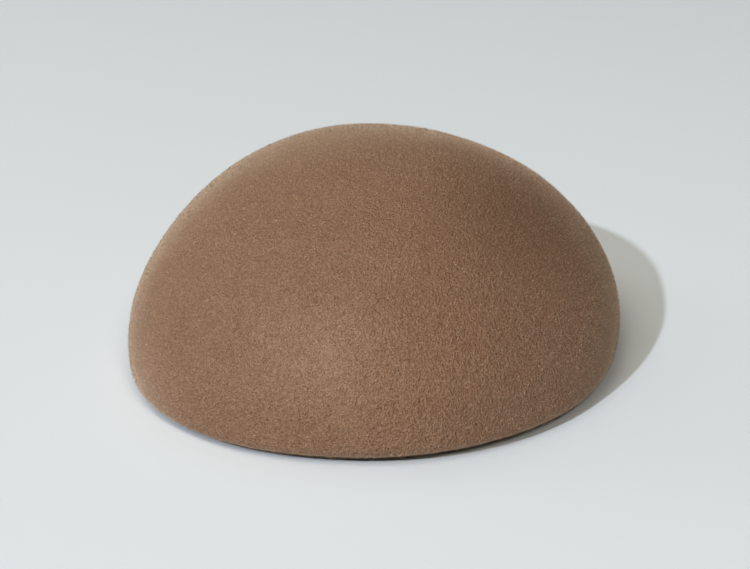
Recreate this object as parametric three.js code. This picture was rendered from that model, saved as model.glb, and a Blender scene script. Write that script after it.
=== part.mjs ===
// A felt pillbox hat: one shell of wool felt, blocked to a soft oval dome, with its edge
// turned under to the head opening.
//
// Millimetres, +Z up. The hat stands on its turned-under edge at z = 0, its front faces -Y,
// and its wearer's right is on the -X side. The origin is the bottom centre of its box.

import * as THREE from "three";

// ---- Driving dimensions ------------------------------------------------------------------

const HALF_LENGTH = 126; // middle to front or back, at the girth
const HALF_WIDTH = 108.4; // middle to either side, at the girth
const HEIGHT = 97.3; // table to the top of the block
const GIRTH_HEIGHT = 12.5; // height of the widest section
const FELT = 2.5; // thickness of the felt
const TURN_UNDER = 22; // how far the edge curls in under the girth
const SEAT = 5; // flat width of felt that rests on the table, as far as the cut edge

// Superellipse exponents: 2 is a true ellipse, more is squarer.
const CROWN_FULLNESS = 1.86; // side view of the crown
const LIP_FULLNESS = 4.4; // side view of the turned-under edge
const OVAL_FULLNESS = 2.22; // plan view of the girth

// The block is not quite regular: its -X half is a little longer, and its top leans back.
const LONGER_HALF = 0.038; // share by which the -X side is longer, and the +X side shorter
const CROWN_LEAN = { x: -3.5, y: 1.2 }; // how far the top stands from the middle of the girth

// Soft swells (rise above 0) and hollows (rise below 0). Each runs along a line over the crown,
// between two points given by bearing (degrees from the front, rising towards +X) and height,
// and fades with distance from it. At the reach, two thirds of the rise is gone.
const SOFT_FORMS = [
  { name: "crown ridge", bearing: [91, 18], height: [87, 79], reach: 28, rise: 1.4 },
  { name: "left shoulder", bearing: [83, 83], height: [93, 47], reach: 22, rise: 1.4 },
  { name: "right swell", bearing: [-61, -41], height: [80, 13], reach: 22, rise: 2.0 },
  { name: "front hollow", bearing: [-20, 57], height: [22, 51], reach: 43, rise: -1.1 },
  { name: "left hollow", bearing: [57, 35], height: [66, 16], reach: 28, rise: -1.8 },
  { name: "back hollow", bearing: [-154, 145], height: [94, 83], reach: 29, rise: -1.4 },
  { name: "front belly", bearing: [-50, 72], height: [52, 28], reach: 24, rise: 1.0 },
];

// The turned edge rests on its inner rim only. Outside that it stands a little off the table,
// and most at one bearing, where it has sprung up.
const EDGE_LIFT = { least: 1.1, more: 1.3, bearing: 35, reach: 22, fadesOver: 45 };
const LIFT_WIDTH = 15.4; // distance outwards from the seat over which the edge lifts

// Mesh steps.
const STEPS_ROUND = 60;
const CROWN_STEPS = 20;
const LIP_STEPS = 7;

// ---- Profile -----------------------------------------------------------------------------

// Quarter of a superellipse from its top (angle 0) to its side (angle 90 degrees).
function quarter(halfWidth, halfHeight, fullness, steps) {
  const points = [];
  for (let i = 0; i <= steps; i++) {
    const angle = (i / steps) * (Math.PI / 2);
    points.push({
      across: halfWidth * Math.sin(angle) ** (2 / fullness),
      up: halfHeight * Math.cos(angle) ** (2 / fullness),
    });
  }
  return points;
}

// One face of the felt, from the top of the crown to where the lip lies flat.
// The outer face has inset 0, and the inner face has the felt's thickness.
function feltFace(inset) {
  const crown = quarter(HALF_WIDTH - inset, HEIGHT - GIRTH_HEIGHT - inset, CROWN_FULLNESS, CROWN_STEPS);
  const lip = quarter(TURN_UNDER - inset, GIRTH_HEIGHT - inset, LIP_FULLNESS, LIP_STEPS);
  const lipCentre = HALF_WIDTH - TURN_UNDER;
  return [
    ...crown.map((p) => new THREE.Vector2(p.across, GIRTH_HEIGHT + p.up)),
    ...lip.reverse().slice(1).map((p) => new THREE.Vector2(lipCentre + p.across, GIRTH_HEIGHT - p.up)),
  ];
}

// The whole wall: up the outer face to the top, then down the inner face, closed on the axis
// at both ends by way of the cut edge.
function capProfile() {
  const cutEdge = HALF_WIDTH - TURN_UNDER - SEAT;
  return [
    ...feltFace(FELT),
    new THREE.Vector2(cutEdge, FELT),
    new THREE.Vector2(cutEdge, 0),
    ...feltFace(0).reverse(),
  ];
}

// ---- Shape -------------------------------------------------------------------------------

// Raises a point of the round cap where the edge stands off the table.
function liftEdge(point) {
  const bearing = THREE.MathUtils.radToDeg(Math.atan2(point.x, -point.y));
  const sprung = Math.exp(-(((bearing - EDGE_LIFT.bearing) / EDGE_LIFT.reach) ** 2));
  const fromSeat = Math.hypot(point.x, point.y) - (HALF_WIDTH - TURN_UNDER);
  const outward = THREE.MathUtils.clamp(fromSeat / LIFT_WIDTH, 0, 1);
  const low = THREE.MathUtils.clamp(1 - (point.z - GIRTH_HEIGHT) / EDGE_LIFT.fadesOver, 0, 1);
  point.z += (EDGE_LIFT.least + EDGE_LIFT.more * sprung) * outward * low;
}

// Takes a point of the round cap to the oval, leaning block.
function toOval(point) {
  const distance = Math.hypot(point.x, point.y);
  if (distance > 0) {
    const across = Math.abs(point.x / distance) * (HALF_LENGTH / HALF_WIDTH);
    const along = Math.abs(point.y / distance);
    const girth = HALF_LENGTH / (across ** OVAL_FULLNESS + along ** OVAL_FULLNESS) ** (1 / OVAL_FULLNESS);
    point.x *= girth / HALF_WIDTH;
    point.y *= girth / HALF_WIDTH;
  }
  point.y *= 1 - (LONGER_HALF * point.x) / HALF_WIDTH;
  const lift = Math.max(0, (point.z - GIRTH_HEIGHT) / (HEIGHT - GIRTH_HEIGHT));
  point.x += CROWN_LEAN.x * lift;
  point.y += CROWN_LEAN.y * lift;
}

// The point of the smooth block at a bearing and a height.
function onBlock(bearing, height) {
  const share = Math.max(0, height - GIRTH_HEIGHT) / (HEIGHT - GIRTH_HEIGHT);
  const across = HALF_WIDTH * (1 - share ** CROWN_FULLNESS) ** (1 / CROWN_FULLNESS);
  const angle = THREE.MathUtils.degToRad(bearing);
  const point = new THREE.Vector3(across * Math.sin(angle), -across * Math.cos(angle), height);
  toOval(point);
  return point;
}

const formLines = SOFT_FORMS.map(
  (form) => new THREE.Line3(
    onBlock(form.bearing[0], form.height[0]),
    onBlock(form.bearing[1], form.height[1]),
  ),
);

// Moves a point in or out, away from the middle of the seat, by every soft form near it.
// Both faces of the felt move together, and the seat stays flat.
function addSoftForms(point) {
  const offSeat = Math.min(1, Math.max(0, point.z - FELT) / GIRTH_HEIGHT);
  const nearest = new THREE.Vector3();
  let push = 0;
  for (const [i, form] of SOFT_FORMS.entries()) {
    formLines[i].closestPointToPoint(point, true, nearest);
    push += form.rise * Math.exp(-((nearest.distanceTo(point) / form.reach) ** 2));
  }
  point.addScaledVector(point.clone().normalize(), push * offSeat);
}

function makeFeltCap() {
  const geometry = new THREE.LatheGeometry(capProfile(), STEPS_ROUND);
  geometry.rotateX(Math.PI / 2);
  const position = geometry.getAttribute("position");
  const point = new THREE.Vector3();
  for (let i = 0; i < position.count; i++) {
    point.fromBufferAttribute(position, i);
    liftEdge(point);
    toOval(point);
    addSoftForms(point);
    position.setXYZ(i, point.x, point.y, point.z);
  }
  geometry.computeBoundingBox();
  const middle = geometry.boundingBox.getCenter(new THREE.Vector3());
  geometry.translate(-middle.x, -middle.y, 0);
  geometry.computeVertexNormals();

  const camelFelt = new THREE.MeshStandardMaterial({ color: 0x8b6b54, roughness: 0.95, metalness: 0 });
  const cap = new THREE.Mesh(geometry, camelFelt);
  cap.name = "felt_cap";
  return cap;
}

const hat = new THREE.Group();
hat.add(makeFeltCap());

export default hat;
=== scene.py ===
# %% [markdown]
# # A felt pillbox hat
#
# The hat is one piece of wool felt. A hatter steams a felt hood, pulls it over a wooden
# block and lets it dry, then turns its edge under to the head hole. So there is one soft
# shell to model, with no seam, band or stitch. On it stands a nap of short brushed wool, a
# little uneven, that glows where light grazes it.
#
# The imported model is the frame: it says how wide, long and high the hat is.

import math

import bpy
import numpy as np
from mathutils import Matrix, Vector, noise


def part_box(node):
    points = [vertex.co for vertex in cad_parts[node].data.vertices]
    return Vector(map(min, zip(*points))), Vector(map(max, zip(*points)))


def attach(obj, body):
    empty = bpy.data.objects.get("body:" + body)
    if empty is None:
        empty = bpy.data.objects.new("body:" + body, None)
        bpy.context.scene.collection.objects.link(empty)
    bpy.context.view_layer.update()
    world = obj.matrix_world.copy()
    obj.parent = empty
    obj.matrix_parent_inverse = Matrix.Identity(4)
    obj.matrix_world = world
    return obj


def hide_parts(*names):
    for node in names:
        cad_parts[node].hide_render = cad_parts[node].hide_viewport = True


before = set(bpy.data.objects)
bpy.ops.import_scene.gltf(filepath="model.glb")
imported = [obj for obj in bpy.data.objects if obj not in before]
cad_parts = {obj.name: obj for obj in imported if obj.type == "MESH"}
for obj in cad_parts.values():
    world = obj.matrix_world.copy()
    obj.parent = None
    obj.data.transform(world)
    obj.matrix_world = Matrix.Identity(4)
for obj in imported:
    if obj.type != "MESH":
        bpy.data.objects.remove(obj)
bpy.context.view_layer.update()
cap_low, cap_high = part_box("felt_cap")
print("cap box, mm:", [round(1000 * v) for v in (*cap_low, *cap_high)])

# %% [markdown]
# ## The block
#
# The hat's form is that of the wooden block. From the side it is a superellipse, which is
# an ellipse that can be made fuller or leaner by its exponent, and from above it is the
# oval of a head. The edge turns under in a second, tighter curve. It could be sculpted by
# hand, but three curves say the same in a few numbers, and they can be sampled as finely
# as the felt needs.

# %% The block's sizes, in metres
HALF_WIDTH = (cap_high.x - cap_low.x) / 2
HALF_LENGTH = 0.126
HEIGHT = 0.0973
GIRTH_HEIGHT = 0.0125
FELT = 0.0025
TURN_UNDER = 0.022
SEAT = 0.005

CROWN_FULLNESS = 1.86
LIP_FULLNESS = 4.4
OVAL_FULLNESS = 2.22
LONGER_HALF = 0.038
CROWN_LEAN = (-0.0035, 0.0012)

# Each soft form runs between two points of the crown, given by bearing (degrees from the
# front, rising towards +X) and height, and fades over its reach. Lengths are in mm.
SOFT_FORMS = [
    dict(name="crown ridge", bearing=(91, 18), height=(87, 79), reach=28, rise=1.4),
    dict(name="left shoulder", bearing=(83, 83), height=(93, 47), reach=22, rise=1.4),
    dict(name="right swell", bearing=(-61, -41), height=(80, 13), reach=22, rise=2.0),
    dict(name="front hollow", bearing=(-20, 57), height=(22, 51), reach=43, rise=-1.1),
    dict(name="left hollow", bearing=(57, 35), height=(66, 16), reach=28, rise=-1.8),
    dict(name="back hollow", bearing=(-154, 145), height=(94, 83), reach=29, rise=-1.4),
    dict(name="front belly", bearing=(-50, 72), height=(52, 28), reach=24, rise=1.0),
]

# The turned edge rests on its inner rim only. Outside that it stands a little off the
# table, and most at one bearing, where it has sprung up.
LEAST_LIFT, MORE_LIFT = 0.0011, 0.0013
LIFT_BEARING, LIFT_REACH = 35, 22
LIFT_WIDTH = 0.0154
LIFT_FADE = 0.045

STEPS_ROUND = 400
CROWN_STEPS = 144
LIP_STEPS = 28
INNER_SHARE = 0.3


# %% The profile of the felt
def quarter(half_width, half_height, fullness, steps):
    """Quarter of a superellipse from its top to its side, as rows of (across, up)."""
    angle = np.linspace(0, math.pi / 2, steps + 1)
    across = half_width * np.sin(angle) ** (2 / fullness)
    up = half_height * np.maximum(np.cos(angle), 0) ** (2 / fullness)
    return np.column_stack([across, up])


def felt_face(inset, fineness=1.0):
    """One face of the felt, from the top of the crown to where the lip lies flat."""
    crown_steps, lip_steps = round(CROWN_STEPS * fineness), round(LIP_STEPS * fineness)
    crown = quarter(HALF_WIDTH - inset, HEIGHT - GIRTH_HEIGHT - inset, CROWN_FULLNESS, crown_steps)
    crown[:, 1] += GIRTH_HEIGHT
    lip = quarter(TURN_UNDER - inset, GIRTH_HEIGHT - inset, LIP_FULLNESS, lip_steps)[::-1][1:]
    lip = np.column_stack([HALF_WIDTH - TURN_UNDER + lip[:, 0], GIRTH_HEIGHT - lip[:, 1]])
    return np.vstack([crown, lip])


def cut_edge(steps=8):
    """The cut edge of the felt, a little rounded, from its lower to its upper corner."""
    middle = HALF_WIDTH - TURN_UNDER - SEAT + FELT / 2
    angle = np.linspace(-math.pi / 2, math.pi / 2, steps + 1)
    return np.column_stack([middle - FELT / 2 * np.cos(angle), FELT / 2 + FELT / 2 * np.sin(angle)])


outer_face = felt_face(0)
inner_face = felt_face(FELT, INNER_SHARE)[::-1]
profile = np.vstack([outer_face, cut_edge(), inner_face])
print("profile:", len(profile), "points")


# %% [markdown]
# ## From a round cap to this hat
#
# A round cap would be a plain turned shape. First its turned edge is lifted a little off the
# table outside the seat, because felt springs up there. Then the block stretches the cap to
# an oval, its -X side, the wearer's right, is a touch longer, and the top leans. Last come
# the soft forms that hands and steam leave: a faint ridge over the crown and a few shallow
# dents. Each is a line that pushes the felt in or out near it, fading smoothly with
# distance, so nothing has a hard edge.

# %% Stretch the round cap to the oval block
def lift_edge(points):
    """Raises points of the round cap where the edge stands off the table."""
    bearing = np.degrees(np.arctan2(points[:, 0], -points[:, 1]))
    sprung = np.exp(-(((bearing - LIFT_BEARING) / LIFT_REACH) ** 2))
    from_seat = np.hypot(points[:, 0], points[:, 1]) - (HALF_WIDTH - TURN_UNDER)
    outward = np.clip(from_seat / LIFT_WIDTH, 0, 1)
    low = np.clip(1 - (points[:, 2] - GIRTH_HEIGHT) / LIFT_FADE, 0, 1)
    moved = points.copy()
    moved[:, 2] += (LEAST_LIFT + MORE_LIFT * sprung) * outward * low
    return moved


def to_oval(points):
    """Takes points of the round cap to the oval, leaning block."""
    bearing = np.arctan2(points[:, 1], points[:, 0])
    across = np.abs(np.cos(bearing)) * (HALF_LENGTH / HALF_WIDTH)
    along = np.abs(np.sin(bearing))
    girth = HALF_LENGTH / (across**OVAL_FULLNESS + along**OVAL_FULLNESS) ** (1 / OVAL_FULLNESS)
    moved = points.copy()
    moved[:, :2] *= (girth / HALF_WIDTH)[:, None]
    moved[:, 1] *= 1 - LONGER_HALF * moved[:, 0] / HALF_WIDTH
    lift = np.maximum(0, (moved[:, 2] - GIRTH_HEIGHT) / (HEIGHT - GIRTH_HEIGHT))
    moved[:, 0] += CROWN_LEAN[0] * lift
    moved[:, 1] += CROWN_LEAN[1] * lift
    return moved


def on_block(bearing, height):
    """The point of the smooth block at a bearing in degrees and a height in mm."""
    share = max(0, height / 1000 - GIRTH_HEIGHT) / (HEIGHT - GIRTH_HEIGHT)
    across = HALF_WIDTH * (1 - share**CROWN_FULLNESS) ** (1 / CROWN_FULLNESS)
    angle = math.radians(bearing)
    return to_oval(np.array([[across * math.sin(angle), -across * math.cos(angle), height / 1000]]))[0]


def add_soft_forms(points):
    """Moves points in or out by every soft form near them, and keeps the seat flat."""
    off_seat = np.clip((points[:, 2] - FELT) / GIRTH_HEIGHT, 0, 1)
    push = np.zeros(len(points))
    for form in SOFT_FORMS:
        start, end = [on_block(*place) for place in zip(form["bearing"], form["height"])]
        line = end - start
        share = np.clip((points - start) @ line / (line @ line), 0, 1)
        nearest = start + share[:, None] * line
        distance = np.linalg.norm(points - nearest, axis=1)
        push += form["rise"] / 1000 * np.exp(-((distance / (form["reach"] / 1000)) ** 2))
    outward = points / np.maximum(np.linalg.norm(points, axis=1), 1e-9)[:, None]
    return points + outward * (push * off_seat)[:, None]


# %% Turn the profile into a closed shell
def turned_shell(profile, steps_round):
    """A closed mesh of the profile turned about Z. Its first and last points are on the axis."""
    angle = np.linspace(0, 2 * math.pi, steps_round, endpoint=False)
    rings = profile[1:-1]
    x = rings[:, :1] * np.sin(angle)
    y = -rings[:, :1] * np.cos(angle)
    z = np.repeat(rings[:, 1:], steps_round, axis=1)
    body = np.stack([x, y, z], axis=-1).reshape(-1, 3)
    points = np.vstack([body, [[0, 0, profile[0, 1]], [0, 0, profile[-1, 1]]]])
    first, last = len(body), len(body) + 1
    faces = []
    for ring in range(len(rings) - 1):
        for step in range(steps_round):
            here, beside = ring * steps_round + step, ring * steps_round + (step + 1) % steps_round
            faces.append((here, here + steps_round, beside + steps_round, beside))
    last_ring = (len(rings) - 1) * steps_round
    for step in range(steps_round):
        beside = (step + 1) % steps_round
        faces.append((first, step, beside))
        faces.append((last_ring + step, last, last_ring + beside))
    return points, faces


points, faces = turned_shell(profile, STEPS_ROUND)
points = add_soft_forms(to_oval(lift_edge(points)))
middle = (points.min(axis=0) + points.max(axis=0)) / 2
points[:, :2] -= middle[:2]
print("smooth shell, mm:", np.round(1000 * (points.max(axis=0) - points.min(axis=0)), 1))


# %% [markdown]
# ## Uneven felt
#
# Felt is never quite even: it is a mat of wool, a little thicker here and thinner there, so
# even a well blocked crown has low waves a few millimetres to a few centimetres wide. They
# are far too shallow to measure, but light from the side finds them. They are put into the
# mesh itself, as three sizes of smooth noise.

# %% Waves in the outer face
WAVES = [
    dict(width=0.045, depth=0.00022),
    dict(width=0.016, depth=0.00010),
    dict(width=0.007, depth=0.00004),
]


def wave_height(point):
    """How far the felt stands out at a point, in metres."""
    return sum(wave["depth"] * noise.noise(Vector(point) / wave["width"]) for wave in WAVES)


outer_count = (len(outer_face) - 1) * STEPS_ROUND
outward = points[:outer_count] / np.linalg.norm(points[:outer_count], axis=1)[:, None]
rises = np.array([wave_height(point) for point in points[:outer_count]])
off_table = np.clip(points[:outer_count, 2] / GIRTH_HEIGHT, 0, 1)
points[:outer_count] += outward * (rises * off_table)[:, None]

mesh = bpy.data.meshes.new("felt_shell")
mesh.from_pydata(points.tolist(), [], faces)
mesh.shade_smooth()
felt_shell = bpy.data.objects.new("felt_shell", mesh)
bpy.context.scene.collection.objects.link(felt_shell)
print("felt shell:", len(points), "points,", len(faces), "faces")

# %% [markdown]
# ## Wool mottle
#
# Felt is dyed wool, carded and shrunk into a mat. Close to, it is a tangle of fibres a
# fraction of a millimetre wide, some lighter and some darker than the rest. From further
# off it is slightly patchy, where the nap was pressed or brushed. Six sizes of noise make
# all of this. The finest carry most of the colour and the relief, and the coarsest only a
# faint change of tone. An image of felt would show its repeats on a form this plain.

# %% A node group for mottled wool
def add_socket(group, name, direction, kind, default=None):
    socket = group.interface.new_socket(name=name, in_out=direction, socket_type=kind)
    if default is not None:
        socket.default_value = default
    return socket


# Each size of noise: how many to a metre, how far it is stretched along Z, and how strongly
# it shows in the colour and in the relief.
WOOL_SIZES = [
    dict(name="fleck", per_metre=2100, stretch=1.0, colour=2.4, relief=0.55),
    dict(name="fibre", per_metre=1250, stretch=0.8, colour=1.0, relief=0.85),
    dict(name="tuft", per_metre=560, stretch=0.9, colour=0.15, relief=0.6),
    dict(name="clump", per_metre=260, stretch=1.0, colour=0.1, relief=0.4),
    dict(name="patch", per_metre=110, stretch=1.0, colour=0.17, relief=0.0),
    dict(name="cloud", per_metre=45, stretch=1.0, colour=0.2, relief=0.0),
]


def make_wool_mottle():
    group = bpy.data.node_groups.new("Wool mottle", "ShaderNodeTree")
    add_socket(group, "Vector", "INPUT", "NodeSocketVector")
    add_socket(group, "Wool", "INPUT", "NodeSocketColor", (0.3, 0.2, 0.13, 1))
    add_socket(group, "Pale fibre", "INPUT", "NodeSocketColor", (0.5, 0.36, 0.25, 1))
    add_socket(group, "Dark fibre", "INPUT", "NodeSocketColor", (0.15, 0.09, 0.06, 1))
    add_socket(group, "Colour", "OUTPUT", "NodeSocketColor")
    add_socket(group, "Relief", "OUTPUT", "NodeSocketFloat")
    nodes, links = group.nodes, group.links
    given, made = nodes.new("NodeGroupInput"), nodes.new("NodeGroupOutput")

    def noise_at(scale, stretch):
        stretched = nodes.new("ShaderNodeVectorMath")
        stretched.operation = "MULTIPLY"
        stretched.inputs[1].default_value = (1.0, 1.0, stretch)
        links.new(given.outputs["Vector"], stretched.inputs[0])
        texture = nodes.new("ShaderNodeTexNoise")
        texture.inputs["Scale"].default_value = scale
        texture.inputs["Detail"].default_value = 0
        links.new(stretched.outputs[0], texture.inputs["Vector"])
        return texture.outputs["Fac"]

    def ramp(source, low, high):
        mapped = nodes.new("ShaderNodeMapRange")
        mapped.inputs["From Min"].default_value = low
        mapped.inputs["From Max"].default_value = high
        links.new(source, mapped.inputs["Value"])
        return mapped.outputs["Result"]

    def mix(factor, first, second):
        blend = nodes.new("ShaderNodeMix")
        blend.data_type = "RGBA"
        links.new(factor, blend.inputs["Factor"])
        links.new(first, blend.inputs["A"])
        links.new(second, blend.inputs["B"])
        return blend.outputs["Result"]

    def share_of(source, amount, base):
        """base plus amount times how far the source is from its middle."""
        shifted = nodes.new("ShaderNodeMath")
        shifted.operation = "MULTIPLY_ADD"
        shifted.inputs[1].default_value = amount
        shifted.inputs[2].default_value = base - amount / 2
        links.new(source, shifted.inputs[0])
        return shifted.outputs[0]

    def total(first, second):
        sum_of = nodes.new("ShaderNodeMath")
        sum_of.operation = "ADD"
        links.new(first, sum_of.inputs[0])
        links.new(second, sum_of.inputs[1])
        return sum_of.outputs[0]

    tone = relief = None
    for size in WOOL_SIZES:
        wool = noise_at(size["per_metre"], size["stretch"])
        tone = share_of(wool, size["colour"], 0.5) if tone is None else total(
            tone, share_of(wool, size["colour"], 0.0))
        relief = share_of(wool, size["relief"], 0.5) if relief is None else total(
            relief, share_of(wool, size["relief"], 0.0))
    darker = ramp(tone, 0.5, -0.5)
    paler = ramp(tone, 0.5, 1.5)
    colour = mix(darker, given.outputs["Wool"], given.outputs["Dark fibre"])
    colour = mix(paler, colour, given.outputs["Pale fibre"])
    links.new(colour, made.inputs["Colour"])
    links.new(relief, made.inputs["Relief"])
    return group


wool_mottle = make_wool_mottle()
print("node group:", wool_mottle.name, len(wool_mottle.nodes), "nodes")

# %% [markdown]
# ## Painted light and shade
#
# Some light and shade is painted into the colour of the wool, as broad, soft patches: a
# painted highlight on the front, painted shade on the left shoulder and painted light low on
# the right edge. Each is named here by where it is on the crown and how much paler or darker
# it makes the wool, and the group adds them into one value that multiplies the colour of the
# wool. A paler patch is also a little greyer, as a highlight is.

# %% A node group for painted light and shade
# Bearing in degrees from the front, height and reach in mm, shade as a share of the colour.
PAINTED_LIGHT_PATCHES = [
    dict(name="front, painted highlight", bearing=0, height=45, reach=40, shade=0.2),
    dict(name="left shoulder, painted shade", bearing=80, height=70, reach=70, shade=-0.25),
    dict(name="right edge, painted light", bearing=-40, height=10, reach=35, shade=0.2),
]


def make_painted_light():
    group = bpy.data.node_groups.new("Painted light and shade", "ShaderNodeTree")
    add_socket(group, "Vector", "INPUT", "NodeSocketVector")
    add_socket(group, "Painted tone", "OUTPUT", "NodeSocketFloat")
    nodes, links = group.nodes, group.links
    given, made = nodes.new("NodeGroupInput"), nodes.new("NodeGroupOutput")
    painted_tone = None
    for patch in PAINTED_LIGHT_PATCHES:
        away = nodes.new("ShaderNodeVectorMath")
        away.operation = "DISTANCE"
        away.inputs[1].default_value = on_block(patch["bearing"], patch["height"]) - (*middle[:2], 0)
        links.new(given.outputs["Vector"], away.inputs[0])
        fade = nodes.new("ShaderNodeMapRange")
        fade.interpolation_type = "SMOOTHSTEP"
        fade.inputs["From Max"].default_value = patch["reach"] / 1000
        fade.inputs["To Min"].default_value = patch["shade"]
        fade.inputs["To Max"].default_value = 0.0
        links.new(away.outputs["Value"], fade.inputs["Value"])
        added = nodes.new("ShaderNodeMath")
        added.operation = "ADD"
        added.inputs[1].default_value = 1.0
        links.new(fade.outputs["Result"], added.inputs[0])
        if painted_tone is not None:
            links.new(painted_tone, added.inputs[1])
        painted_tone = added.outputs[0]
    links.new(painted_tone, made.inputs["Painted tone"])
    return group


painted_light_group = make_painted_light()
GREYER_WHEN_PALER = 0.4


def with_painted_light(nodes, links, vector, colour):
    """The colour, with the painted light and shade of the patches at a place."""
    painted_tone = nodes.new("ShaderNodeGroup")
    painted_tone.node_tree = painted_light_group
    links.new(vector, painted_tone.inputs["Vector"])
    greyer = nodes.new("ShaderNodeMath")
    greyer.operation = "MULTIPLY_ADD"
    greyer.inputs[1].default_value = -GREYER_WHEN_PALER
    greyer.inputs[2].default_value = 1 + GREYER_WHEN_PALER
    links.new(painted_tone.outputs["Painted tone"], greyer.inputs[0])
    shaded = nodes.new("ShaderNodeHueSaturation")
    links.new(painted_tone.outputs["Painted tone"], shaded.inputs["Value"])
    links.new(greyer.outputs[0], shaded.inputs["Saturation"])
    links.new(colour, shaded.inputs["Color"])
    return shaded.outputs["Color"]


print("node group:", painted_light_group.name, len(PAINTED_LIGHT_PATCHES), "patches")

# %% [markdown]
# ## Painted shade under the edge
#
# Where the turned edge faces the table, shade is painted into the wool: it is made darker,
# so the gap under the edge looks dark. Two masks multiplied say where that is: one finds
# felt that faces down, the other felt that is close to the table, so the inside of the crown
# is left out. A painted attribute on the mesh would do as well, but it would have to be made
# again with every change of shape.

# %% A node group for the painted shade under the edge
# The painted shade's colour, and the height and facing where it fades out.
PAINTED_EDGE_SHADE = (0.130, 0.070, 0.037, 1)
SHADE_BELOW = 0.005
FULLY_SHADED_SHARE = 0.6
FACING_DOWN = -0.92
TURNING_AWAY = -0.7


def make_painted_edge_shade():
    """Mask of the painted shade: 1 where the felt faces down and almost touches the table."""
    group = bpy.data.node_groups.new("Painted edge shade", "ShaderNodeTree")
    add_socket(group, "Vector", "INPUT", "NodeSocketVector")
    add_socket(group, "Normal", "INPUT", "NodeSocketVector")
    add_socket(group, "Mask", "OUTPUT", "NodeSocketFloat")
    nodes, links = group.nodes, group.links
    given, made = nodes.new("NodeGroupInput"), nodes.new("NodeGroupOutput")
    masks = []
    for socket, full, none in (
        ("Normal", FACING_DOWN, TURNING_AWAY),
        ("Vector", FULLY_SHADED_SHARE * SHADE_BELOW, SHADE_BELOW),
    ):
        parts = nodes.new("ShaderNodeSeparateXYZ")
        fade = nodes.new("ShaderNodeMapRange")
        fade.interpolation_type = "SMOOTHSTEP"
        fade.inputs["From Min"].default_value = full
        fade.inputs["From Max"].default_value = none
        fade.inputs["To Min"].default_value = 1
        fade.inputs["To Max"].default_value = 0
        links.new(given.outputs[socket], parts.inputs[0])
        links.new(parts.outputs["Z"], fade.inputs["Value"])
        masks.append(fade.outputs["Result"])
    both = nodes.new("ShaderNodeMath")
    both.operation = "MULTIPLY"
    links.new(masks[0], both.inputs[0])
    links.new(masks[1], both.inputs[1])
    links.new(both.outputs[0], made.inputs["Mask"])
    return group


painted_edge_shade_group = make_painted_edge_shade()
print("painted edge shade fades out above", round(1000 * SHADE_BELOW, 1), "mm")

# %% [markdown]
# ## Camel felt
#
# The felt is matt: wool scatters light every way. Seen edge on, though, its outline looks
# paler than its face, a sheen. The Principled shader's own sheen could do that, but it adds
# one even veil. Here Layer Weight mixes a painted sheen into the colour: two paler tones, a
# broad one and a narrow one at the very outline.

# %% The felt's material
# How closely each painted sheen keeps to the outline, and its colour.
PAINTED_SHEEN = [(4, (0.600, 0.398, 0.253, 1)), (20, (1.0, 0.80, 0.60, 1))]


def make_camel_felt():
    material = bpy.data.materials.new("brushed_camel_felt")
    material.use_nodes = True
    nodes, links = material.node_tree.nodes, material.node_tree.links
    shader = nodes["Principled BSDF"]
    shader.inputs["Roughness"].default_value = 0.75
    shader.inputs["Specular IOR Level"].default_value = 0.5

    place = nodes.new("ShaderNodeTexCoord")
    mottle = nodes.new("ShaderNodeGroup")
    mottle.node_tree = wool_mottle
    mottle.inputs["Wool"].default_value = (0.24, 0.12, 0.06, 1)
    mottle.inputs["Pale fibre"].default_value = (0.36, 0.215, 0.13, 1)
    mottle.inputs["Dark fibre"].default_value = (0.13, 0.047, 0.014, 1)
    links.new(place.outputs["Object"], mottle.inputs["Vector"])

    slant = nodes.new("ShaderNodeLayerWeight")
    slant.inputs["Blend"].default_value = 0.5
    colour = mottle.outputs["Colour"]
    # Painted sheen: a paler colour mixed in where the felt is seen edge on.
    for narrowness, paler in PAINTED_SHEEN:
        sheen_share = nodes.new("ShaderNodeMath")
        sheen_share.operation = "POWER"
        sheen_share.inputs[1].default_value = narrowness
        links.new(slant.outputs["Facing"], sheen_share.inputs[0])
        nap = nodes.new("ShaderNodeMix")
        nap.data_type = "RGBA"
        nap.inputs["B"].default_value = paler
        links.new(sheen_share.outputs[0], nap.inputs["Factor"])
        links.new(colour, nap.inputs["A"])
        colour = nap.outputs["Result"]
    # Painted light and shade from the patches.
    colour = with_painted_light(nodes, links, place.outputs["Object"], colour)
    # Painted shade: the wool is made darker where the edge faces the table.
    edge_shade = nodes.new("ShaderNodeGroup")
    edge_shade.node_tree = painted_edge_shade_group
    links.new(place.outputs["Object"], edge_shade.inputs["Vector"])
    links.new(place.outputs["Normal"], edge_shade.inputs["Normal"])
    painted_underside = nodes.new("ShaderNodeMix")
    painted_underside.data_type = "RGBA"
    painted_underside.inputs["B"].default_value = PAINTED_EDGE_SHADE
    links.new(edge_shade.outputs["Mask"], painted_underside.inputs["Factor"])
    links.new(colour, painted_underside.inputs["A"])
    links.new(painted_underside.outputs["Result"], shader.inputs["Base Color"])

    bump = nodes.new("ShaderNodeBump")
    bump.inputs["Strength"].default_value = 1.0
    bump.inputs["Distance"].default_value = 0.001
    links.new(mottle.outputs["Relief"], bump.inputs["Height"])
    links.new(bump.outputs["Normal"], shader.inputs["Normal"])
    return material


felt_shell.data.materials.append(make_camel_felt())
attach(felt_shell, "root")
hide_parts("felt_cap")
print("material:", felt_shell.data.materials[0].name)

# %% [markdown]
# ## The nap
#
# Brushing raises the ends of the wool fibres, and they stand off the felt by a fraction of
# a millimetre. That nap catches the light at the hat's outline and gives the face its soft
# grain. Hair curves would be heavy to carry to other programs, so each raised end is one
# slim four-sided spike, leaning over in a random direction, and the spikes are joined in a
# few meshes. The ends are paler and less strongly dyed than the mat below, so they have a
# wool of their own.

# %% The raised wool's material
WOOLS_PER_METRE = 700


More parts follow.
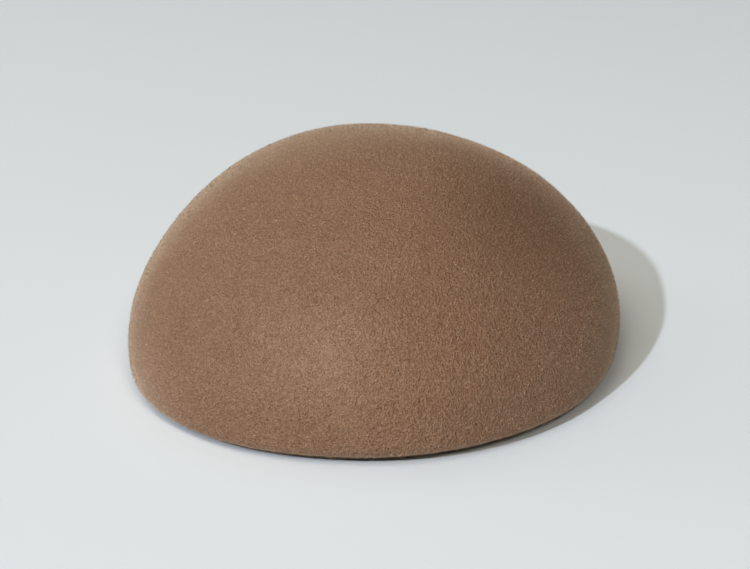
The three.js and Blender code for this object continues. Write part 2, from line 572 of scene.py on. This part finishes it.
def make_nap_wool():
    material = bpy.data.materials.new("raised_wool")
    material.use_nodes = True
    nodes, links = material.node_tree.nodes, material.node_tree.links
    shader = nodes["Principled BSDF"]
    shader.inputs["Roughness"].default_value = 0.75
    shader.inputs["Specular IOR Level"].default_value = 0.5
    place = nodes.new("ShaderNodeTexCoord")
    dye = nodes.new("ShaderNodeTexNoise")
    dye.inputs["Scale"].default_value = WOOLS_PER_METRE
    dye.inputs["Detail"].default_value = 0
    links.new(place.outputs["Object"], dye.inputs["Vector"])
    spread = nodes.new("ShaderNodeMapRange")
    spread.inputs["From Min"].default_value = 0.3
    spread.inputs["From Max"].default_value = 0.7
    links.new(dye.outputs["Fac"], spread.inputs["Value"])
    shade = nodes.new("ShaderNodeMix")
    shade.data_type = "RGBA"
    shade.inputs["A"].default_value = (0.25, 0.155, 0.09, 1)
    shade.inputs["B"].default_value = (0.60, 0.44, 0.30, 1)
    links.new(spread.outputs["Result"], shade.inputs["Factor"])
    # The raised wool gets the same painted light and shade.
    colour = with_painted_light(nodes, links, place.outputs["Object"], shade.outputs["Result"])
    links.new(colour, shader.inputs["Base Color"])
    return material


nap_wool = make_nap_wool()
print("material:", nap_wool.name)

# %% Raised wool fibres
NAP_PIECES = 3
FIBRES_A_PIECE = 48000
FIBRE_LENGTH = (0.0005, 0.0014)
FIBRE_RADIUS = 0.00007
FIBRE_LIFT = (15, 75)  # degrees off the felt
ROOT_DEPTH = 0.0001
BARE_BELOW = 0.0015


def outer_quads():
    """Corner, two sides and outward direction of every quad of the outer face, and its area."""
    grid = points[:outer_count].reshape(-1, STEPS_ROUND, 3)
    corner = grid[:-1].reshape(-1, 3)
    along = grid[1:].reshape(-1, 3) - corner
    across = np.roll(grid, -1, axis=1)[:-1].reshape(-1, 3) - corner
    normal = np.cross(along, across)
    area = np.linalg.norm(normal, axis=1)
    return corner, along, across, normal / area[:, None], area


def unit(vectors):
    return vectors / np.linalg.norm(vectors, axis=1)[:, None]


def add_nap(name, count, seed):
    """One mesh of raised fibres scattered evenly over the outer face."""
    rng = np.random.default_rng(seed)
    corner, along, across, normal, area = outer_quads()
    area = area * (corner[:, 2] > BARE_BELOW)
    pick = rng.choice(len(area), count, p=area / area.sum())
    root = corner[pick] + along[pick] * rng.random((count, 1)) + across[pick] * rng.random((count, 1))
    up = normal[pick]
    side = unit(np.cross(up, rng.normal(size=(count, 3))))
    lift = np.radians(rng.uniform(*FIBRE_LIFT, (count, 1)))
    lie = side * np.cos(lift) + up * np.sin(lift)
    length = rng.uniform(*FIBRE_LENGTH, (count, 1))
    first = unit(np.cross(lie, up))
    second = np.cross(lie, first)
    base = root - up * ROOT_DEPTH
    corners = [base + FIBRE_RADIUS * (math.cos(a) * first + math.sin(a) * second)
               for a in (0, 2 * math.pi / 3, 4 * math.pi / 3)]
    spikes = np.stack([*corners, root + lie * length], axis=1).reshape(-1, 3)
    start = 4 * np.arange(count)[:, None, None]
    sides = start + np.array([(0, 2, 1), (0, 1, 3), (1, 2, 3), (2, 0, 3)])
    nap_mesh = bpy.data.meshes.new(name)
    nap_mesh.from_pydata(spikes.tolist(), [], sides.reshape(-1, 3).tolist())
    nap = bpy.data.objects.new(name, nap_mesh)
    bpy.context.scene.collection.objects.link(nap)
    nap.data.materials.append(nap_wool)
    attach(nap, "root")


for number in range(1, NAP_PIECES + 1):
    add_nap(f"nap_{number}", FIBRES_A_PIECE, number)
print("nap:", NAP_PIECES * FIBRES_A_PIECE, "fibres")

# %% [markdown]
# ## Table, light and camera
#
# The hat stands on a plain pale table. One small lamp from the front left throws the long
# clear-edged shadow to the right. Seven large softboxes round the hat fill the rest. None at
# the front is low, so the gap under the edge stays dark. The room gives no light: it is only
# a pale background for views that look past the table.

# %% The table
TABLE_HALF = 3.0
table_mesh = bpy.data.meshes.new("table")
corners = [(x * TABLE_HALF, y * TABLE_HALF, 0) for x, y in ((-1, -1), (1, -1), (1, 1), (-1, 1))]
table_mesh.from_pydata(corners, [], [(0, 1, 2, 3)])
table = bpy.data.objects.new("table", table_mesh)
bpy.context.scene.collection.objects.link(table)
table_paint = bpy.data.materials.new("table_paint")
table_paint.use_nodes = True
paint = table_paint.node_tree.nodes["Principled BSDF"]
paint.inputs["Base Color"].default_value = (0.77, 0.80, 0.80, 1)
paint.inputs["Roughness"].default_value = 0.85
paint.inputs["Specular IOR Level"].default_value = 0.1
table.data.materials.append(table_paint)
print("table:", 2 * TABLE_HALF, "m wide")


# %% Lamps and room light
def towards(azimuth, elevation):
    """Unit vector towards a place, with azimuth 0 in front of the hat and 90 on its +X side."""
    a, e = math.radians(azimuth), math.radians(elevation)
    return Vector((math.sin(a) * math.cos(e), -math.cos(a) * math.cos(e), math.sin(e)))


def add_lamp(name, size, power, azimuth, elevation, distance, colour=(1, 1, 1)):
    lamp = bpy.data.lights.new(name, "AREA")
    lamp.shape = "DISK"
    lamp.size = size
    lamp.energy = power
    lamp.color = colour
    thing = bpy.data.objects.new(name, lamp)
    direction = towards(azimuth, elevation)
    thing.location = direction * distance
    thing.rotation_euler = direction.to_track_quat("Z", "Y").to_euler()
    bpy.context.scene.collection.objects.link(thing)
    return thing


LAMP_DISTANCE = 6.0
SOFTBOX = 3.3
SMALL_SOFTBOX = 1.6
KEY_COLOUR = (0.93, 1.01, 1.17)
FILL_COLOUR = (1.03, 1.0, 0.92)
KEY_SIZE = 0.19
add_lamp("key_lamp", KEY_SIZE, 208, -23.9, 34.5, LAMP_DISTANCE, KEY_COLOUR)
for name, size, power, azimuth, elevation in [
    ("front_high", SOFTBOX, 32, -3.6, 60),
    ("right_front", SMALL_SOFTBOX, 95, 26.4, 42),
    ("left_front_high", SOFTBOX, 84, -33.6, 60),
    ("left_low", SOFTBOX, 36, -98.6, 20),
    ("left_high", SOFTBOX, 20, -98.6, 50),
    ("back_left", SOFTBOX, 8, -138.6, 30),
    ("back_high", SOFTBOX, 24, 191.4, 60),
]:
    add_lamp(name, size, power, azimuth, elevation, LAMP_DISTANCE, FILL_COLOUR)
print("lamps:", len(bpy.data.lights))

# %% The room, seen but giving no light
world = bpy.data.worlds.new("room")
bpy.context.scene.world = world
world.use_nodes = True
backdrop = world.node_tree.nodes["Background"]
backdrop.inputs["Color"].default_value = (0.55, 0.57, 0.57, 1)
ray = world.node_tree.nodes.new("ShaderNodeLightPath")
world.node_tree.links.new(ray.outputs["Is Camera Ray"], backdrop.inputs["Strength"])
print("room:", world.name)

# %% The camera
LENS = 91.2
SENSOR = 36
VIEW_AZIMUTH, VIEW_ELEVATION = 11.4, 24
VIEW_DISTANCE = 0.874
AIM_OFFSET = Vector((-0.0019, 0.0, 0.0281))
camera_data = bpy.data.cameras.new("camera")
camera_data.lens = LENS
camera_data.sensor_width = SENSOR
camera = bpy.data.objects.new("camera", camera_data)
bpy.context.scene.collection.objects.link(camera)
block_middle = Vector((-middle[0], -middle[1], 0))
camera.location = block_middle + towards(VIEW_AZIMUTH, VIEW_ELEVATION) * VIEW_DISTANCE
aim = block_middle + AIM_OFFSET
camera.rotation_euler = (camera.location - aim).to_track_quat("Z", "Y").to_euler()
bpy.context.scene.camera = camera
bpy.context.scene.view_settings.view_transform = "Standard"
print("camera:", LENS, "mm lens,", VIEW_DISTANCE, "m away")
